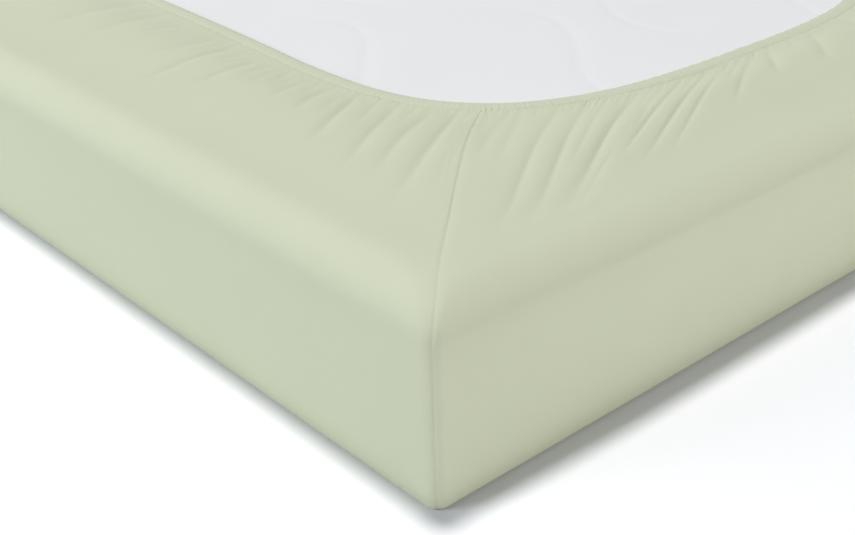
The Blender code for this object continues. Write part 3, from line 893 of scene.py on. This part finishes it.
def noiseNode(nodes, vector, scale, detail=2.0):
    node = nodes.new("ShaderNodeTexNoise")
    for label, value in (("Vector", vector), ("Scale", scale), ("Detail", detail)):
        socketIn(nodes, node.inputs[label], value)
    return node.outputs["Fac"]


def scaledVector(nodes, vector, scale):
    node = nodes.new("ShaderNodeVectorMath")
    node.operation = "MULTIPLY"
    socketIn(nodes, node.inputs[0], vector)
    node.inputs[1].default_value = scale
    return node.outputs[0]


def newGroup(name, inputs, outputs):
    group = bpy.data.node_groups.new(name, "ShaderNodeTree")
    for label, kind in inputs:
        group.interface.new_socket(label, in_out="INPUT", socket_type=kind)
    for label, kind in outputs:
        group.interface.new_socket(label, in_out="OUTPUT", socket_type=kind)
    return group, group.nodes.new("NodeGroupInput"), group.nodes.new("NodeGroupOutput")


# the threads of the woven cloth: how they wander, cross and thicken
threadSetting = {
    "wanderPerMetre": 90.0,
    "wander": 0.0006,
    "over": 0.45,            # how far a thread rises where it crosses over
    "middle": 0.55,
    "slubNarrow": 1900.0,    # slubs per metre across a thread and along it
    "slubLong": 45.0,
}


def plainWeaveGroup():
    # warp and weft crossing: Height from 0 to 1, and Tint around 0.5 for the slubs and paler threads
    group, given, result = newGroup(
        "plain weave", [("Threads", "NodeSocketVector"), ("Per Metre", "NodeSocketFloat")],
        [("Height", "NodeSocketFloat"), ("Tint", "NodeSocketFloat")])
    nodes = group.nodes
    threads, perMetre = given.outputs["Threads"], given.outputs["Per Metre"]
    apart = nodes.new("ShaderNodeSeparateXYZ")
    socketIn(nodes, apart.inputs[0], threads)
    t = threadSetting
    offMiddle = mathNode(nodes, "SUBTRACT", noiseNode(nodes, threads, t["wanderPerMetre"]), 0.5)
    wander = mathNode(nodes, "MULTIPLY", offMiddle, t["wander"])
    waves = []
    for place in (apart.outputs["X"], apart.outputs["Y"]):
        turns = mathNode(nodes, "MULTIPLY", mathNode(nodes, "ADD", place, wander), perMetre)
        waves.append(mathNode(nodes, "COSINE", mathNode(nodes, "MULTIPLY", turns, math.pi)))
    crossing = mathNode(nodes, "MULTIPLY", waves[0], waves[1])
    crests = []
    for wave, over in zip(waves, (t["over"], -t["over"])):
        rise = mathNode(nodes, "MULTIPLY_ADD", crossing, over, t["middle"])
        crests.append(mathNode(nodes, "MULTIPLY", mathNode(nodes, "ABSOLUTE", wave), rise))
    socketIn(nodes, result.inputs["Height"], mathNode(nodes, "MAXIMUM", *crests))
    narrow, long = t["slubNarrow"], t["slubLong"]
    along = noiseNode(nodes, scaledVector(nodes, threads, (narrow, long, 0.0)), 1.0)
    across = noiseNode(nodes, scaledVector(nodes, threads, (long, narrow, 0.0)), 1.0)
    both = mathNode(nodes, "ADD", along, across)
    socketIn(nodes, result.inputs["Tint"], mathNode(nodes, "MULTIPLY", both, 0.5))
    return group


def mottleGroup():
    # soft uneven patches, 0 to 1, as cloth and ticking have under even light
    group, given, result = newGroup(
        "soft mottle", [("Place", "NodeSocketVector"), ("Patches Per Metre", "NodeSocketFloat")],
        [("Mottle", "NodeSocketFloat")])
    patches = noiseNode(group.nodes, given.outputs["Place"], given.outputs["Patches Per Metre"], 3.0)
    socketIn(group.nodes, result.inputs["Mottle"], patches)
    return group


plainWeave, softMottle = plainWeaveGroup(), mottleGroup()


def newMaterial(name):
    material = bpy.data.materials.new(name)
    material.use_nodes = True
    return material, material.node_tree.nodes, material.node_tree.nodes["Principled BSDF"]


def setInputs(node, values):
    for label, value in values.items():
        node.inputs[label].default_value = value


def placedGroup(nodes, group, **values):
    node = nodes.new("ShaderNodeGroup")
    node.node_tree = group
    for label, value in values.items():
        socketIn(nodes, node.inputs[label.replace("_", " ")], value)
    return node.outputs


def mixedColour(nodes, share, first, second):
    node = nodes.new("ShaderNodeMix")
    node.data_type = "RGBA"
    socketIn(nodes, node.inputs["Factor"], share)
    node.inputs[6].default_value = (*first, 1.0)
    node.inputs[7].default_value = (*second, 1.0)
    return node.outputs[2]


def bumpFrom(nodes, height, strength, distance, before=None):
    node = nodes.new("ShaderNodeBump")
    node.inputs["Strength"].default_value = strength
    node.inputs["Distance"].default_value = distance
    socketIn(nodes, node.inputs["Height"], height)
    if before is not None:
        socketIn(nodes, node.inputs["Normal"], before)
    return node.outputs["Normal"]


sageCotton = {"paler": (0.636, 0.666, 0.484), "deeper": (0.590, 0.622, 0.447), "crinkle": 0.05}
# the hem's cloth is the same cotton a touch darker: painted shade of the bunched gathers
shadedHemCotton = {"paler": (0.634, 0.662, 0.488), "deeper": (0.588, 0.618, 0.450), "crinkle": 0.12}
cotton = {
    "threadsPerMetre": 2150.0,
    "patchesPerMetre": 11.0,
    "wrinklesPerMetre": 70.0,
    "wrinkleDepth": 0.002,
    "weaveStrength": 0.25,
    "weaveDepth": 0.0001,
    "finish": {"Roughness": 0.80, "Specular IOR Level": 0.25, "Sheen Weight": 0.10, "Sheen Roughness": 0.60},
}
ticking = {
    "paler": (0.842, 0.838, 0.822),
    "deeper": (0.802, 0.800, 0.790),
    "loopsPerMetre": 850.0,
    "patchesPerMetre": 7.0,
    "loopTint": 0.25,
    "paddingPerMetre": 55.0,
    "paddingStrength": 0.10,
    "paddingDepth": 0.002,
    "loopStrength": 0.35,
    "loopDepth": 0.0002,
    "finish": {"Roughness": 0.90, "Specular IOR Level": 0.20, "Sheen Weight": 0.08},
}
thread = {"Base Color": (0.600, 0.640, 0.480, 1.0), "Roughness": 0.60}


def clothMaterial(name, colours):
    # woven cotton: a fine plain weave, thread by thread slightly uneven, with soft patches
    c = cotton
    material, nodes, shader = newMaterial(name)
    threads = nodes.new("ShaderNodeUVMap")
    threads.uv_map = "threads"
    place = nodes.new("ShaderNodeTexCoord").outputs["Object"]
    weave = placedGroup(nodes, plainWeave, Threads=threads.outputs["UV"], Per_Metre=c["threadsPerMetre"])
    mottle = placedGroup(nodes, softMottle, Place=place, Patches_Per_Metre=c["patchesPerMetre"])["Mottle"]
    tone = mathNode(nodes, "MULTIPLY_ADD", weave["Tint"], 0.5, mathNode(nodes, "MULTIPLY", mottle, 0.5))
    socketIn(nodes, shader.inputs["Base Color"], mixedColour(nodes, tone, colours["deeper"], colours["paler"]))
    wrinkles = noiseNode(nodes, threads.outputs["UV"], c["wrinklesPerMetre"], 3.0)
    soft = bumpFrom(nodes, wrinkles, colours["crinkle"], c["wrinkleDepth"])
    fine = bumpFrom(nodes, weave["Height"], c["weaveStrength"], c["weaveDepth"], soft)
    socketIn(nodes, shader.inputs["Normal"], fine)
    setInputs(shader, c["finish"])
    return material


def tickingMaterial():
    # white knitted ticking: rows of small loops over a soft padding
    t = ticking
    material, nodes, shader = newMaterial("white ticking")
    place = nodes.new("ShaderNodeTexCoord").outputs["Object"]
    loops = placedGroup(nodes, plainWeave, Threads=place, Per_Metre=t["loopsPerMetre"])
    mottle = placedGroup(nodes, softMottle, Place=place, Patches_Per_Metre=t["patchesPerMetre"])["Mottle"]
    patches = mathNode(nodes, "MULTIPLY", mottle, 1 - t["loopTint"])
    tone = mathNode(nodes, "MULTIPLY_ADD", loops["Height"], t["loopTint"], patches)
    socketIn(nodes, shader.inputs["Base Color"], mixedColour(nodes, tone, t["deeper"], t["paler"]))
    lumps = noiseNode(nodes, place, t["paddingPerMetre"])
    padding = bumpFrom(nodes, lumps, t["paddingStrength"], t["paddingDepth"])
    knit = bumpFrom(nodes, loops["Height"], t["loopStrength"], t["loopDepth"], padding)
    socketIn(nodes, shader.inputs["Normal"], knit)
    setInputs(shader, t["finish"])
    return material


def threadMaterial():
    # the sewing thread, a shade smoother than the cloth
    material, _, shader = newMaterial("sewing thread")
    setInputs(shader, thread)
    return material


sheet.data.materials.append(clothMaterial("sage cotton", sageCotton))
# the casing takes the cotton with the painted shade of its gathers
hemCasing.data.materials.append(clothMaterial("gathered hem cotton with painted shade", shadedHemCotton))
hemStitches.data.materials.append(threadMaterial())
mattress.data.materials.append(tickingMaterial())

for piece in (sheet, hemCasing, hemStitches):
    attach(piece, "root")
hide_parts("sheet")
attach(mattress, "root")
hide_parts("mattress")

cameraData = bpy.data.cameras.new("camera")
cameraData.lens = cameraSetting["lens"]
cameraData.sensor_width = cameraSetting["sensorWidth"]
cameraObject = newObject("camera", cameraData)
cameraObject.location = Vector((-outline["halfX"], -outline["halfY"], 0)) + cameraSetting["fromCorner"]
level = math.cos(cameraSetting["pitch"])
look = Vector((math.cos(cameraSetting["turn"]) * level, math.sin(cameraSetting["turn"]) * level,
               -math.sin(cameraSetting["pitch"])))
cameraObject.rotation_euler = look.to_track_quat("-Z", "Y").to_euler()
bpy.context.scene.camera = cameraObject

studio = {
    "floorReach": 15,
    "floor": {"Base Color": (0.97, 0.97, 0.99, 1.0), "Roughness": 0.85, "Specular IOR Level": 0.1},
    "room": {"Color": (0.96, 0.97, 1.13, 1), "Strength": 0.185},
    "backdrop": {"Color": (1, 1, 1, 1), "Strength": 0.97},
}
floorBm = bmesh.new()
bmesh.ops.create_grid(floorBm, x_segments=1, y_segments=1, size=studio["floorReach"])
floorMesh = bpy.data.meshes.new("floor")
floorBm.to_mesh(floorMesh)
floorBm.free()
floor = newObject("floor", floorMesh)
floorMaterial, _, floorShader = newMaterial("white floor")
setInputs(floorShader, studio["floor"])
floorMesh.materials.append(floorMaterial)

# a bright white backdrop to look at, and a softer white round light
world = bpy.data.worlds.new("white studio")
bpy.context.scene.world = world
world.use_nodes = True
worldNodes = world.node_tree.nodes
roomLight = worldNodes["Background"]
setInputs(roomLight, studio["room"])
backdrop = worldNodes.new("ShaderNodeBackground")
setInputs(backdrop, studio["backdrop"])
seen = worldNodes.new("ShaderNodeMixShader")
socketIn(worldNodes, seen.inputs[0], worldNodes.new("ShaderNodeLightPath").outputs["Is Camera Ray"])
socketIn(worldNodes, seen.inputs[1], roomLight.outputs[0])
socketIn(worldNodes, seen.inputs[2], backdrop.outputs[0])
socketIn(worldNodes, worldNodes["World Output"].inputs["Surface"], seen.outputs[0])


def addLamp(name, kind, energy, fromDirection):
    lamp = bpy.data.lights.new(name, kind)
    lamp.energy = energy
    lampObject = newObject(name, lamp)
    lampObject.rotation_euler = fromDirection.to_track_quat("Z", "Y").to_euler()
    lampObject.visible_camera = False
    return lamp, lampObject


keyLight = {"from": Vector((0.08, 0.18, 0.98)), "strength": 2.16, "angle": math.radians(9)}
keySun = addLamp("key from above", "SUN", keyLight["strength"], keyLight["from"])[0]
keySun.angle = keyLight["angle"]

# a big soft box far off beside the long side, so its light falls off towards the near corner
softBox = {
    "from": Vector((-0.80, 0.45, 0.40)),
    "away": 7.0,
    "across": 3.7,
    "irradiance": 1.33,
    "colour": (0.92, 0.99, 1.02),
}
boxPower = softBox["irradiance"] * math.pi * softBox["away"] ** 2
boxLight, boxObject = addLamp("soft box", "AREA", boxPower, softBox["from"])
boxLight.shape = "DISK"
boxLight.size = softBox["across"]
boxLight.color = softBox["colour"]
cornerMiddle = Vector((-outline["halfX"], -outline["halfY"], outline["crownLevel"] / 2))
boxObject.location = cornerMiddle + softBox["from"] * softBox["away"]

# a low strip in front of the short side: it stands under the mattress's top, so the gathers get none of it
lowStrip = {
    "power": 21.0,
    "length": 3.0,
    "height": 0.17,
    "place": (0.2, -3.2, 0.095),
    "colour": (1.0, 0.99, 0.96),
}
stripLight, stripObject = addLamp("low strip", "AREA", lowStrip["power"], Vector((0, -1, 0)))
stripLight.shape = "RECTANGLE"
stripLight.size = lowStrip["length"]
stripLight.size_y = lowStrip["height"]
stripLight.color = lowStrip["colour"]
stripObject.location = lowStrip["place"]
bpy.context.scene.view_settings.view_transform = "Standard"
